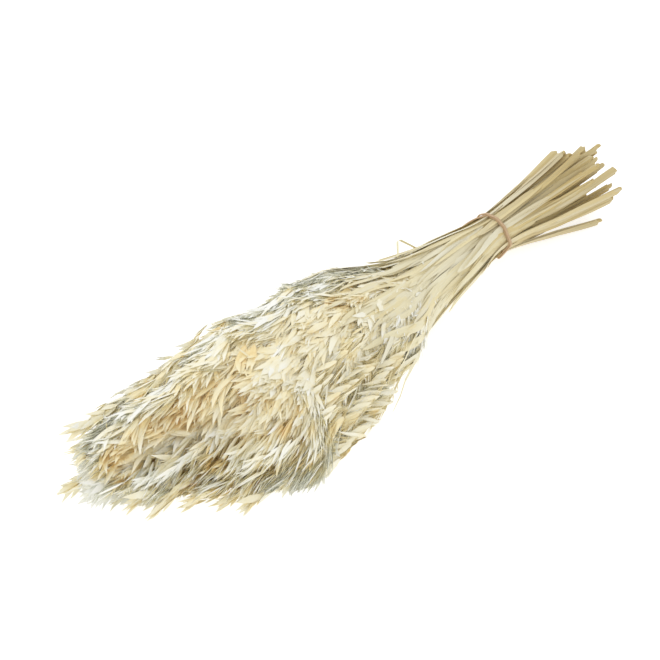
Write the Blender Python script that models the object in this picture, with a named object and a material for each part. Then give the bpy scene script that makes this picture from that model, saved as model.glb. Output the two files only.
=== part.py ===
"""A bundle of bleached, dried oats lying on a table: cut stalks with their heads, held by one rubber
band that is wound twice round the straws. Metres, +Z up. The cut ends point along +X and the heads
along -X, and the origin is on the table under the middle of the bundle."""

import math
import random

import bmesh
import bpy
import numpy as np

SEED = 11

# The bundle. Places along it are measured from the longest cut end.
BUNDLE_LENGTH = 0.70
TIE_AT = 0.160
STALK_COUNT = 57
CUT_ENDS_SPAN = 0.045

# Straws, packed like a honeycomb where they are tied. The neck is measured to the outer straws' middles.
STRAW_RADIUS = 0.0024
STRAW_GAP = 0.0004
NECK_RADIUS = 0.0204
HONEYCOMB_OFFSET = (0.17, 0.11)

# How the bundle opens out from the tie, as slopes of its half-width and half-height, and how its
# middle leans to the right (-Y) and rises. WAIST is the power that rounds off the narrow neck.
HEADS_SIDE_SLOPE = 0.147
HEADS_UP_SLOPE = 0.092
HEADS_LEAN = 0.050
HEADS_RISE = 0.045
CUT_SIDE_SLOPE = 0.175
CUT_UP_SLOPE = 0.190
CUT_LEAN = 0.130
CUT_RISE = 0.090
WAIST = 1.15

# The twist of the whole bundle, in radians a metre, and how far each straw strays on its own.
TWIST = 1.3
HEADS_SWAY = 0.030
CUT_SWAY = 0.080
SWAY_UP_SHARE = 0.7

# Where heads end: the front of the bundle from its right side (-1) to its left (+1), and how much
# sooner a stalk may end, first by its height in the bundle and then by chance.
FRONT_OUTLINE = ((-1.0, 0.590), (-0.4, 0.625), (0.2, 0.672), (0.7, 0.715), (1.0, 0.710))
FRONT_READ_AT = 0.40
EARLIER_ON_TOP = 0.095
EARLIER_BY_CHANCE = 0.085

# Heads. They nod at their tips, most on top of the bundle, and those at its right droop to the table.
HEAD_LENGTHS = (0.195, 0.250)
LEAST_HEAD_START = 0.262
HEAD_START_SPREAD = 0.030
HEAD_RADIUS = 0.0165
HEAD_CORE_RADIUS = 0.0078
TIP_RADIUS = 0.0012
HEAD_GAP = 0.0016
FULLEST_EARLY = 0.80
BLUNTNESS = 0.55
LUMP = 0.30
BETWEEN_WHORLS = 0.74
NODS = (0.009, 0.030)
SIDE_DROOP = 0.045
SIDE_DROOP_FROM = 0.35

# Straws turn only at stations, and a head has a ring at every third of a station.
STATION_STEP = 0.072
RINGS_PER_STATION = 3
LEAST_RING_SHARE = 0.45
RING_SIDES = 5

# The settling of the stalks against each other.
CHECKS_PER_STATION = 6
SETTLE_ROUNDS = 400
PUSH = 0.30
RESTING_SHARE = 0.80

# Rubber band. Angles go round the bundle from its right side (-Y), over the top.
BAND_RADIUS = 0.0013
BAND_CLEARANCE = 0.0006
BAND_TURNS_APART = 0.0030
BAND_SLANT = 0.024
BAND_CROSSING = math.radians(82)
BAND_CROSSING_WIDTH = math.radians(30)
BAND_RETURN = math.radians(190)
BAND_RETURN_WIDTH = math.radians(90)
BAND_POINTS_PER_TURN = 28

STRAW_COLOUR = (0.70, 0.60, 0.38)
STRAW_TONES = (0.90, 1.08)
STRAW_ROUGHNESS = 0.7
BAND_COLOUR = (0.46, 0.30, 0.16)
BAND_ROUGHNESS = 0.6

first_station = -3
last_station = math.ceil((BUNDLE_LENGTH - TIE_AT) / STATION_STEP)
stations = [TIE_AT + STATION_STEP * k for k in range(first_station, last_station + 1)]
tie_station = -first_station
ring_step = STATION_STEP / RINGS_PER_STATION

# The band lies on the table under the neck.
tie_height = NECK_RADIUS + STRAW_RADIUS + BAND_CLEARANCE + 2.0 * BAND_RADIUS + STRAW_GAP


def remove_everything():
    for item in list(bpy.data.objects):
        bpy.data.objects.remove(item, do_unlink=True)


def smooth(t):
    t = min(max(t, 0.0), 1.0)
    return t * t * (3.0 - 2.0 * t)


def neck_layout():
    """Places of the straws at the tie: the honeycomb sites nearest the middle, on a unit disc."""
    reach = math.ceil(math.sqrt(STALK_COUNT))
    sites = []
    for row in range(-reach, reach + 1):
        for column in range(-reach, reach + 1):
            across = column + 0.5 * row + HONEYCOMB_OFFSET[0]
            sites.append((across, row * math.sqrt(0.75) + HONEYCOMB_OFFSET[1]))
    sites.sort(key=lambda site: math.hypot(*site))
    chosen = np.array(sites[:STALK_COUNT])
    chosen -= chosen.mean(axis=0)
    return chosen / np.hypot(chosen[:, 0], chosen[:, 1]).max()


def turned_site(site, past_tie):
    """A straw's place in the layout, which twists slowly along the bundle."""
    turn = TWIST * past_tie
    u = site[0] * math.cos(turn) - site[1] * math.sin(turn)
    v = site[0] * math.sin(turn) + site[1] * math.cos(turn)
    return u, v


def bundle_centre(along):
    """Sideways place and height of the middle of the bundle."""
    past_tie = along - TIE_AT
    if past_tie > 0.0:
        return -HEADS_LEAN * past_tie, tie_height + HEADS_RISE * past_tie
    return CUT_LEAN * past_tie, tie_height - CUT_RISE * past_tie


def bundle_size(along):
    """Half-width and half-height of the layout of straw centres: a narrow neck that opens both ways."""
    past_tie = along - TIE_AT
    slopes = (HEADS_SIDE_SLOPE, HEADS_UP_SLOPE) if past_tie > 0.0 else (CUT_SIDE_SLOPE, CUT_UP_SLOPE)
    return [(NECK_RADIUS ** WAIST + abs(slope * past_tie) ** WAIST) ** (1.0 / WAIST) for slope in slopes]


def grow_stalks(layout, rng):
    """Length, head and lean of each stalk. The left of the bundle reaches furthest, and the stalks on
    top end sooner, so that heads cover the bundle from near the tie to its front."""
    stalks = []
    for site in layout:
        u, v = turned_site(site, FRONT_READ_AT)
        tip = np.interp(u, *zip(*FRONT_OUTLINE))
        tip -= EARLIER_ON_TOP * smooth(0.5 + 0.5 * v) + EARLIER_BY_CHANCE * rng.random()
        head_length = rng.uniform(*HEAD_LENGTHS)
        least_start = LEAST_HEAD_START + HEAD_START_SPREAD * rng.random()
        stalks.append({
            "tip": tip,
            "head_start": max(tip - head_length, least_start),
            "cut": CUT_ENDS_SPAN * rng.random(),
            "droop": np.interp(v, (0.0, 1.0), NODS) + SIDE_DROOP * max(0.0, -u - SIDE_DROOP_FROM),
            "heads_sway": (rng.uniform(-1.0, 1.0), rng.uniform(-1.0, 1.0)),
            "cut_sway": (rng.uniform(-1.0, 1.0), rng.uniform(-1.0, 1.0)),
            "lumps": random.Random(rng.random()),
            "whorl_shift": len(stalks) % 2,
        })
    spare = BUNDLE_LENGTH - max(stalk["tip"] for stalk in stalks)
    shortest_cut = min(stalk["cut"] for stalk in stalks)
    for stalk in stalks:
        stalk["tip"] += spare
        stalk["head_start"] += spare
        stalk["cut"] -= shortest_cut
    return stalks


def head_share(stalk, along):
    """How far along its head a place is, from 0 where the head starts to 1 at its tip."""
    return (along - stalk["head_start"]) / (stalk["tip"] - stalk["head_start"])


def head_fullness(stalk, along):
    """Size of a head, from 0 at its ends to 1 where it is fullest, a little before its middle."""
    share = head_share(stalk, along)
    if share <= 0.0 or share >= 1.0:
        return 0.0
    return math.sin(math.pi * share ** FULLEST_EARLY) ** BLUNTNESS


def core_radius(stalk, along):
    """The room that a stalk keeps from its neighbours."""
    return max(STRAW_RADIUS, HEAD_CORE_RADIUS * head_fullness(stalk, along))


def loose_place(stalk, site, along):
    """Where a stalk would run if its neighbours and the table did not push it."""
    past_tie = along - TIE_AT
    u, v = turned_site(site, past_tie)
    half_width, half_height = bundle_size(along)
    middle_y, middle_z = bundle_centre(along)
    if past_tie > 0.0:
        sway_y, sway_z = (HEADS_SWAY * past_tie * part for part in stalk["heads_sway"])
    else:
        sway_y, sway_z = (CUT_SWAY * past_tie * part for part in stalk["cut_sway"])
    nodding = stalk["droop"] * min(max(head_share(stalk, along), 0.0), 1.0) ** 2
    y = middle_y + half_width * u + sway_y
    z = middle_z + half_height * v + sway_z * SWAY_UP_SHARE - nodding
    return y, z


def places_at(paths, along):
    """Places of all stalks at any distance, on straight runs between the stations."""
    step = (along - stations[0]) / STATION_STEP
    k = min(max(int(math.floor(step)), 0), len(stations) - 2)
    part = step - k
    return (1.0 - part) * paths[k] + part * paths[k + 1]


def settle(paths, radii):
    """Moves the stalks apart until none overlap anywhere, and none sink into the table. The radii are
    given at checks between the stations, and each check moves the stations on both sides of it. The
    band holds the straws still where they are tied."""
    count = paths.shape[1]
    tied = paths[tie_station].copy()
    reach = (radii[:, :, None] + radii[:, None, :] + STRAW_GAP) * (1.0 - np.eye(count))
    for _ in range(SETTLE_ROUNDS):
        for first in (0, 1):
            for k in range(first, len(stations) - 1, 2):
                for check in range(CHECKS_PER_STATION + 1):
                    part = check / CHECKS_PER_STATION
                    here = (1.0 - part) * paths[k] + part * paths[k + 1]
                    apart = here[:, None, :] - here[None, :, :]
                    distance = np.hypot(apart[..., 0], apart[..., 1]) + np.eye(count)
                    short = np.clip(reach[k * CHECKS_PER_STATION + check] - distance, 0.0, None)
                    push = PUSH * (apart / distance[..., None] * short[..., None]).sum(axis=1)
                    paths[k] += (1.0 - part) * push
                    paths[k + 1] += part * push
        paths[..., 1] = np.maximum(paths[..., 1], radii[::CHECKS_PER_STATION] * RESTING_SHARE)
        paths[tie_station] = tied


def stalk_paths(stalks, layout):
    """Places of all stalks at all stations."""
    paths = np.array([
        [loose_place(stalk, site, along) for stalk, site in zip(stalks, layout)]
        for along in stations
    ])
    check_count = (len(stations) - 1) * CHECKS_PER_STATION + 1
    checks = [stations[0] + k * STATION_STEP / CHECKS_PER_STATION for k in range(check_count)]
    radii = np.array([[core_radius(stalk, along) for stalk in stalks] for along in checks])
    settle(paths, radii)
    return paths


def ring_places(stalk):
    """Places of a stalk's rings, each with the size of the head there: the cut end, the stations of the
    straw, the whorls of the head, and the tip."""
    places = [(stalk["cut"], 0.0)]
    for along in stations:
        if stalk["cut"] + LEAST_RING_SHARE * ring_step < along < stalk["head_start"]:
            places.append((along, 0.0))
    first = math.ceil((stalk["head_start"] - stations[0]) / ring_step)
    last = math.floor((stalk["tip"] - stations[0]) / ring_step - LEAST_RING_SHARE)
    before_head = stations[0] + (first - 1) * ring_step
    if before_head > places[-1][0] + LEAST_RING_SHARE * ring_step:
        places.append((before_head, 0.0))
    for k in range(first, last + 1):
        along = stations[0] + k * ring_step
        whorl = 1.0 if (k + stalk["whorl_shift"]) % 2 else BETWEEN_WHORLS
        places.append((along, whorl * head_fullness(stalk, along)))
    places.append((stalk["tip"], 0.0))
    return places


def ring_corner(index, side, stalks, places, along, size):
    """One corner of a ring. A head fills its share of the room up to its neighbours, and what lies on
    the table is flat there."""
    stalk = stalks[index]
    own = core_radius(stalk, along)
    reach = STRAW_RADIUS if along < stalk["tip"] else TIP_RADIUS
    if size > 0.0:
        reach = max(STRAW_RADIUS, HEAD_RADIUS * size * (1.0 + LUMP * stalk["lumps"].uniform(-1.0, 1.0)))
    angle = (side + 0.5) * 2.0 * math.pi / RING_SIDES - 0.5 * math.pi
    direction = np.array([math.cos(angle), math.sin(angle)])
    for other, neighbour in enumerate(stalks):
        beside = neighbour["cut"] - ring_step < along < neighbour["tip"] + ring_step
        if other == index or not beside:
            continue
        offset = places[other] - places[index]
        distance = math.hypot(*offset)
        facing = float(direction @ offset) / distance
        if facing > 0.0:
            both = own + core_radius(neighbour, along)
            gap = HEAD_GAP if both > 2.0 * STRAW_RADIUS else STRAW_GAP
            reach = min(reach, (distance - gap) * own / both / facing)
    if direction[1] < 0.0:
        reach = min(reach, places[index][1] / -direction[1])
    y, z = places[index] + direction * reach
    return -along, y, z


def stalk_rings(index, stalks, paths):
    """All rings of one stalk, from its cut end to its tip."""
    rings = []
    for along, size in ring_places(stalks[index]):
        places = places_at(paths, along)
        rings.append([
            ring_corner(index, side, stalks, places, along, size) for side in range(RING_SIDES)
        ])
    return rings


def loft(name, rings, shift):
    """A closed skin over a row of rings."""
    mesh = bmesh.new()
    loops = [[mesh.verts.new((x + shift[0], y + shift[1], z)) for x, y, z in ring] for ring in rings]
    for near, far in zip(loops, loops[1:]):
        for side in range(RING_SIDES):
            after = (side + 1) % RING_SIDES
            mesh.faces.new((near[side], near[after], far[after], far[side]))
    mesh.faces.new(loops[0][::-1])
    mesh.faces.new(loops[-1])
    bmesh.ops.recalc_face_normals(mesh, faces=mesh.faces)
    bmesh.ops.triangulate(mesh, faces=mesh.faces)
    data = bpy.data.meshes.new(name)
    mesh.to_mesh(data)
    mesh.free()
    return data


def finish(name, colour, roughness):
    material = bpy.data.materials.new(name)
    material.use_nodes = True
    shader = material.node_tree.nodes["Principled BSDF"]
    shader.inputs["Base Color"].default_value = (*colour, 1.0)
    shader.inputs["Roughness"].default_value = roughness
    shader.inputs["Metallic"].default_value = 0.0
    return material


def add_stalks(collection, all_rings, shift, rng):
    for number, rings in enumerate(all_rings, start=1):
        name = f"oat_stalk_{number:02d}"
        data = loft(name, rings, shift)
        tone = rng.uniform(*STRAW_TONES)
        data.materials.append(finish(name, [tone * part for part in STRAW_COLOUR], STRAW_ROUGHNESS))
        collection.objects.link(bpy.data.objects.new(name, data))


def band_point(turned, paths, shift):
    """A point on the middle of the band after it has turned by an angle, from 0 to two full turns.
    Both turns lie side by side facing the right of the bundle. They cross on top, and from there the
    second one slants towards the heads over the left shoulder and comes back underneath."""
    angle = turned % (2.0 * math.pi)
    past_crossing = (angle - BAND_CROSSING) / BAND_CROSSING_WIDTH
    swap = BAND_TURNS_APART * (smooth(past_crossing + 0.5) - 0.5)
    if turned < 2.0 * math.pi:
        along = TIE_AT - swap
        over = 0.0
    else:
        back = smooth((angle - BAND_RETURN) / BAND_RETURN_WIDTH)
        along = TIE_AT + swap + BAND_SLANT * smooth(past_crossing + 0.5) * (1.0 - back)
        over = math.exp(-(2.0 * past_crossing) ** 2)
    middle_y, middle_z = bundle_centre(along)
    straws = places_at(paths, along)
    widest = np.hypot(straws[:, 0] - middle_y, straws[:, 1] - middle_z).max()
    grip = widest + STRAW_RADIUS + BAND_CLEARANCE + BAND_RADIUS + over * (2.0 * BAND_RADIUS + STRAW_GAP)
    y = middle_y - grip * math.cos(angle)
    z = middle_z + grip * math.sin(angle)
    return -along + shift[0], y + shift[1], z


def add_band(collection, paths, shift):
    point_count = 2 * BAND_POINTS_PER_TURN
    curve = bpy.data.curves.new("rubber_band", "CURVE")
    curve.dimensions = "3D"
    curve.bevel_depth = BAND_RADIUS
    curve.bevel_resolution = 1
    spline = curve.splines.new("POLY")
    spline.points.add(point_count - 1)
    spline.use_cyclic_u = True
    for k, point in enumerate(spline.points):
        point.co = (*band_point(4.0 * math.pi * k / point_count, paths, shift), 1.0)
    curve.materials.append(finish("rubber_band", BAND_COLOUR, BAND_ROUGHNESS))
    collection.objects.link(bpy.data.objects.new("rubber_band", curve))


def main():
    remove_everything()
    rng = random.Random(SEED)
    layout = neck_layout()
    stalks = grow_stalks(layout, rng)
    paths = stalk_paths(stalks, layout)
    all_rings = [stalk_rings(index, stalks, paths) for index in range(STALK_COUNT)]

    sides = [y for rings in all_rings for ring in rings for _, y, _ in ring]
    shift = (0.5 * BUNDLE_LENGTH, -0.5 * (min(sides) + max(sides)))

    collection = bpy.data.collections.new("bundle_of_dried_oats")
    bpy.context.scene.collection.children.link(collection)
    add_stalks(collection, all_rings, shift, rng)
    add_band(collection, paths, shift)


main()
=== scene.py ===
"""The looks of a bundle of bleached, dried oats that lies on a pale table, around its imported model."""
import math

import bpy
import numpy as np
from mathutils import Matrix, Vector


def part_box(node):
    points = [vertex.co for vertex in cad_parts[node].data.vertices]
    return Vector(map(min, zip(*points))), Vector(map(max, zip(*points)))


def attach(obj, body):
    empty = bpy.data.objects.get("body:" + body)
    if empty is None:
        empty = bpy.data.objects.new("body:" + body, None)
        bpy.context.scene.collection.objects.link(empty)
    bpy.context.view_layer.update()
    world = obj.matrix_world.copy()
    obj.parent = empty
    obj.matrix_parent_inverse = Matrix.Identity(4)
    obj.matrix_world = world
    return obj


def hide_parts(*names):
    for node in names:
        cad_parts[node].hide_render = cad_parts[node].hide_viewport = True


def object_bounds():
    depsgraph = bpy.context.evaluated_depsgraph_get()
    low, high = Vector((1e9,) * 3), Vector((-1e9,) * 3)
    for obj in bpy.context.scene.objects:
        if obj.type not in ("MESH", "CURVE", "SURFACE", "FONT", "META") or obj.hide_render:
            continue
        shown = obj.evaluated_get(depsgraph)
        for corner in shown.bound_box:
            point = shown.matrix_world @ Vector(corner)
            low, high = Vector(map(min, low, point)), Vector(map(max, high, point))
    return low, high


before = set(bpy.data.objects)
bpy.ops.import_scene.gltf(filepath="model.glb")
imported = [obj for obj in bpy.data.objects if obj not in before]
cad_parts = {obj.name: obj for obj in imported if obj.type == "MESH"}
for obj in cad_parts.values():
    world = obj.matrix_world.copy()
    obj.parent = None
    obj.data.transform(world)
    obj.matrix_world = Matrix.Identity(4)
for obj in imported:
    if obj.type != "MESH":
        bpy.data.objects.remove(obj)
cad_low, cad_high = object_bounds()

# The view
# The bundle is seen from in front of its right side and from above, with its heads near the camera and
# its cut ends far from it, through a long lens.
VIEW_AZIMUTH = math.radians(-48.0)
VIEW_HEIGHT = math.radians(38.0)
VIEW_DISTANCE = 1.348
VIEW_CENTRE = Vector((-0.0549, 0.0189, 0.04))
LENS_ANGLE = math.radians(26.0)

towards_camera = Vector((
    math.sin(VIEW_AZIMUTH) * math.cos(VIEW_HEIGHT),
    -math.cos(VIEW_AZIMUTH) * math.cos(VIEW_HEIGHT),
    math.sin(VIEW_HEIGHT),
))
camera = bpy.data.objects.new("camera", bpy.data.cameras.new("camera"))
bpy.context.scene.collection.objects.link(camera)
camera.data.angle = LENS_ANGLE
camera.location = VIEW_CENTRE + VIEW_DISTANCE * towards_camera
camera.rotation_euler = (-towards_camera).to_track_quat("-Z", "Y").to_euler()
bpy.context.scene.camera = camera

# Straws
# Each stalk is a hollow oat straw, cut off with shears and air dried: straight between its joints, with
# a leaf sheath wrapped round it above each one. It thins out into the rachis, the stem of its head.
SEED = 7
RING_GAP = 0.001
AHEAD = 0.001
HEAD_FROM_RADIUS = 0.0028
STALK_BLEACHES = (0.55, 0.75)
STRAW_SIDES = 8
STRAW_STEP = 0.014
LEAST_STEP = 0.0008
STRAW_MARGINS = (0.010, 0.006)
STRAW_RADII = (0.0023, 0.00125)
RACHIS_TIP_RADIUS = 0.0003
HOLLOW_SHARE = 0.60
HOLLOW_DEPTH = 0.014
CUT_SLANT = 0.0016
JOINT_PLACES = (0.075, 0.245)
JOINT_STRAY = 0.045
JOINT_FROM_CUT = 0.02
JOINT_HALF_LENGTH = 0.0018
JOINT_ROWS = (-2.5, -1.0, 0.0, 1.0, 2.5)
JOINT_SWELLING = 1.22
SHEATH_LENGTHS = (0.09, 0.15)
SHEATH_ROWS = (-0.002, 0.0, 0.0015)
SHEATH_SLACK = 0.0001
SHEATH_SWELLING = 1.13
STRAW_BLEACH = -0.2
STRAW_CHART = (0.0, 0.10)

# Places are distances from the longest cut end, which run towards -X, and all sizes are in metres.
along_axis = np.array((-1.0, 0.0, 0.0))
sideways = np.array((0.0, 1.0, 0.0))


def packed_rings(node):
    """The rings of a packed stalk, from its cut end to its tip, each as its corners."""
    points = np.zeros(len(node.data.vertices) * 3, np.float32)
    node.data.vertices.foreach_get("co", points)
    points = points.reshape(-1, 3).astype(float)
    points = points[np.argsort(-points[:, 0])]
    breaks = np.flatnonzero(-np.diff(points[:, 0]) > RING_GAP) + 1
    return [np.unique(ring, axis=0) for ring in np.split(points, breaks)]


def on_stalk(path, wanted):
    """A stalk's middles at distances from the longest cut end, on a smooth curve through its rings."""
    places, middles = path["places"], path["middles"]
    slopes = np.gradient(middles, places, axis=0)
    k = np.clip(np.searchsorted(places, wanted) - 1, 0, len(places) - 2)
    step = (places[k + 1] - places[k])[:, None]
    t = np.clip((wanted - places[k])[:, None] / step, 0.0, 1.0)
    start = middles[k] * (1.0 + 2.0 * t) + slopes[k] * step * t
    end = middles[k + 1] * (3.0 - 2.0 * t) - slopes[k + 1] * step * (1.0 - t)
    return start * (1.0 - t) ** 2 + end * t ** 2


def unit(vectors):
    return vectors / np.linalg.norm(vectors, axis=-1, keepdims=True)


def turns_round(sides):
    return 2.0 * math.pi * np.arange(sides) / sides


def spokes_at(turns):
    """Unit vectors at these angles, as their two sizes."""
    return np.stack([np.cos(turns), np.sin(turns)], -1)


def spokes_between(turns, across, other):
    """Unit vectors at these angles round each of several axes, from two directions across each axis."""
    return np.cos(turns)[:, None] * across[:, None] + np.sin(turns)[:, None] * other[:, None]


def skin(first, rings, last, grown):
    """A closed skin over a row of rings, from one end point to the other, as points and faces that point
    out, with their places on a chart from 0 to 1. The grown values go with the points, in their order."""
    count, sides = rings.shape[:2]
    points = np.concatenate([first[None], rings.reshape(-1, 3), last[None]])
    rows = np.arange(count - 1)[:, None] * sides + 1
    tail = (count - 1) * sides + 1
    side = np.arange(sides)
    after = (side + 1) % sides
    quads = np.stack([rows + side, rows + after, rows + sides + after, rows + sides + side], -1)
    start = np.stack([np.zeros_like(side), after + 1, side + 1], -1)
    end = np.stack([tail + side, tail + after, np.full_like(side, len(points) - 1)], -1)

    u0, u1 = side / sides, (side + 1) / sides
    v = np.arange(count + 2) / (count + 1)
    low, high = v[1:-2, None] + 0.0 * u0, v[2:-1, None] + 0.0 * u0
    left, right = u0 + 0.0 * low, u1 + 0.0 * low
    bottom, top = v[1] + 0.0 * u0, v[-2] + 0.0 * u0
    middle = 0.5 * (u0 + u1)
    quad_chart = np.stack([left, low, right, low, right, high, left, high], -1)
    start_chart = np.stack([middle, 0.0 * u0, u1, bottom, u0, bottom], -1)
    end_chart = np.stack([u0, top, u1, top, middle, 0.0 * u0 + 1.0], -1)
    part = {
        "points": points,
        "grown": grown,
        "quads": quads.reshape(-1, 4),
        "tris": np.concatenate([start, end]),
        "quad_chart": quad_chart.reshape(-1, 4, 2),
        "tri_chart": np.concatenate([start_chart, end_chart]).reshape(-1, 3, 2),
    }
    volume = 0.0
    for key, half in (("tris", (0, 1, 2)), ("quads", (0, 1, 2)), ("quads", (0, 2, 3))):
        corners = points[part[key][:, half]]
        volume += np.einsum("ij,ij->i", corners[:, 0], np.cross(corners[:, 1], corners[:, 2])).sum()
    if volume < 0.0:
        for key in ("quads", "tris", "quad_chart", "tri_chart"):
            part[key] = part[key][:, ::-1]
    return part


def in_straw_finish(part, tone, bleach, chart, index=0, count=1, share=1.0, upright=False):
    """The part with the values that the straw's finish reads, and its own column of the piece's chart."""
    points = len(part["points"])
    part["tone"] = np.full(points, tone)
    part["bleach"] = np.full(points, bleach)
    part["finish"] = 0
    for key in ("quad_chart", "tri_chart"):
        corners = part[key] if upright else part[key][..., ::-1]
        part[key] = corners * (share / count, chart[1] - chart[0]) + (index / count, chart[0])
    return part


def straw_part(path, rng):
    """The straw and its rachis. Its grown values are the direction round the straw and the distance
    from the longest cut end."""
    places = [np.arange(path["cut"] + STRAW_MARGINS[0], path["tip"] - STRAW_MARGINS[1], STRAW_STEP)]
    joints = [place + JOINT_STRAY * rng.uniform(-1.0, 1.0) for place in JOINT_PLACES]
    joints = [place for place in joints if place > path["cut"] + JOINT_FROM_CUT]
    sheaths = [joint + rng.uniform(*SHEATH_LENGTHS) for joint in joints]
    for joint, end in zip(joints, sheaths):
        places += [joint + JOINT_HALF_LENGTH * np.array(JOINT_ROWS), end + np.array(SHEATH_ROWS)]
    places = np.sort(np.concatenate(places))
    places = places[np.concatenate([[True], np.diff(places) > LEAST_STEP])]

    in_head = (places - path["head"]) / (path["tip"] - path["head"])
    rachis = STRAW_RADII[1] + (RACHIS_TIP_RADIUS - STRAW_RADII[1]) * np.clip(in_head, 0.0, 1.0)
    straw = np.interp(places, (path["cut"], path["head"]), STRAW_RADII)
    radii = np.where(in_head > 0.0, rachis, straw)
    for joint, end in zip(joints, sheaths):
        swelling = np.exp(-((places - joint) / JOINT_HALF_LENGTH) ** 2)
        radii *= 1.0 + (JOINT_SWELLING - 1.0) * swelling
        in_sheath = (places > joint) & (places < end + SHEATH_SLACK)
        radii *= np.where(in_sheath, SHEATH_SWELLING, 1.0)

    rows = np.concatenate([[path["cut"] + HOLLOW_DEPTH, path["cut"], path["cut"]], places])
    reach = np.concatenate([[HOLLOW_SHARE * radii[0], HOLLOW_SHARE * radii[0], radii[0]], radii])
    middles = on_stalk(path, rows)
    run = on_stalk(path, rows + AHEAD) - on_stalk(path, rows - AHEAD)
    forward = unit(run + 1e-9 * along_axis)
    across = unit(np.cross(forward, sideways))
    turns = turns_round(STRAW_SIDES)
    rings = middles[:, None] + reach[:, None, None] * spokes_between(turns, across, np.cross(forward, across))
    slant = CUT_SLANT * np.cos(turns + rng.uniform(0.0, 2.0 * math.pi))
    rings[1:3] += slant[None, :, None] * forward[1:3, None]
    around = np.tile(spokes_at(turns), (len(rows), 1))
    grown = np.concatenate([around, np.repeat(rows, STRAW_SIDES)[:, None]], axis=1)
    grown = np.concatenate([[[0.0, 0.0, rows[0]]], grown, [[0.0, 0.0, path["tip"]]]])
    tip = on_stalk(path, np.array([path["tip"]]))[0]
    part = skin(middles[0], rings, tip, grown)
    return in_straw_finish(part, path["tone"], path["bleach"] + STRAW_BLEACH, STRAW_CHART)


stalk_names = sorted(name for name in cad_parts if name.startswith("oat_stalk"))
paths = {}
for index, name in enumerate(stalk_names):
    rng = np.random.default_rng(SEED + index)
    rings = packed_rings(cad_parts[name])
    middles = np.array([ring.mean(axis=0) for ring in rings])
    reaches = np.array([np.linalg.norm(ring - ring.mean(axis=0), axis=1).max() for ring in rings])
    places = cad_high.x - middles[:, 0]
    full = np.flatnonzero(reaches > HEAD_FROM_RADIUS)
    paths[name] = {
        "rings": rings,
        "middles": middles,
        "places": places,
        "cut": places[0],
        "head": places[full[0] - 1],
        "tip": places[-1],
        "tone": rng.random(),
        "bleach": rng.uniform(*STALK_BLEACHES),
    }

# Leaves
# The leaf blades have dried to thin, folded strips that lie along the straws, most of them stripped off
# when the bundle was made. Each one is part of its stalk, and so are flattened strips of sheath that
# were cut off with the straw.
LEAVES_PER_STALK = 5
LEAF_STARTS = (0.08, 0.29)
LEAF_FROM_CUT = 0.01
LEAF_LENGTHS = (0.09, 0.22)
LEAF_HALF_WIDTHS = (0.0024, 0.0052)
LEAF_WIDEST = 0.6
LEAF_BLUNTNESS = 0.5
STRIPS_PER_STALK = 2
STRIP_STARTS = (0.0, 0.006)
STRIP_LENGTHS = (0.08, 0.17)
STRIP_HALF_WIDTHS = (0.0024, 0.0046)
STRIP_BLUNTNESS = 0.4
LEAF_RINGS = 12
BLADE_ENDS = (0.02, 0.98)
LEAF_WALL = 0.00022
LEAF_FOLD = 0.25
LEAF_POINT = 0.02
LEAF_GAP = 0.0003
LEAF_TURN_STRAY = 0.5
LEAF_LIFTS = (0.0004, 0.0090)
LEAF_WAVE = 0.0012
WAVE_STARTS = (0.0, 6.0)
WAVE_TURN = 5.0
LEAF_BLEACH_STRAY = 0.25
TIE_PLACE = 0.160
TIE_HOLD = 0.05
LEAF_CHART = (0.15, 0.163)
CHART_SHARE = 0.95

band_low, band_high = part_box("rubber_band")
band_middle = 0.5 * (np.array(band_low) + np.array(band_high))


def blade_part(line, forward, edge, face, half_width, fold, point, places):
    """A thin blade along a line, folded along its middle and pointed at both ends."""
    rings = np.stack([
        line - half_width * edge - fold * half_width * face,
        line + LEAF_WALL * face,
        line + half_width * edge - fold * half_width * face,
        line - LEAF_WALL * face,
    ], axis=1)
    grown = np.zeros((LEAF_RINGS * 4 + 2, 3))
    grown[1:-1, 0] = np.tile((-1.0, 0.0, 1.0, 0.0), LEAF_RINGS)
    grown[1:-1, 2] = np.repeat(places, 4)
    grown[0, 2], grown[-1, 2] = places[0], places[-1]
    return skin(line[0] - point * forward[0], rings, line[-1] + point * forward[-1], grown)


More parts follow.
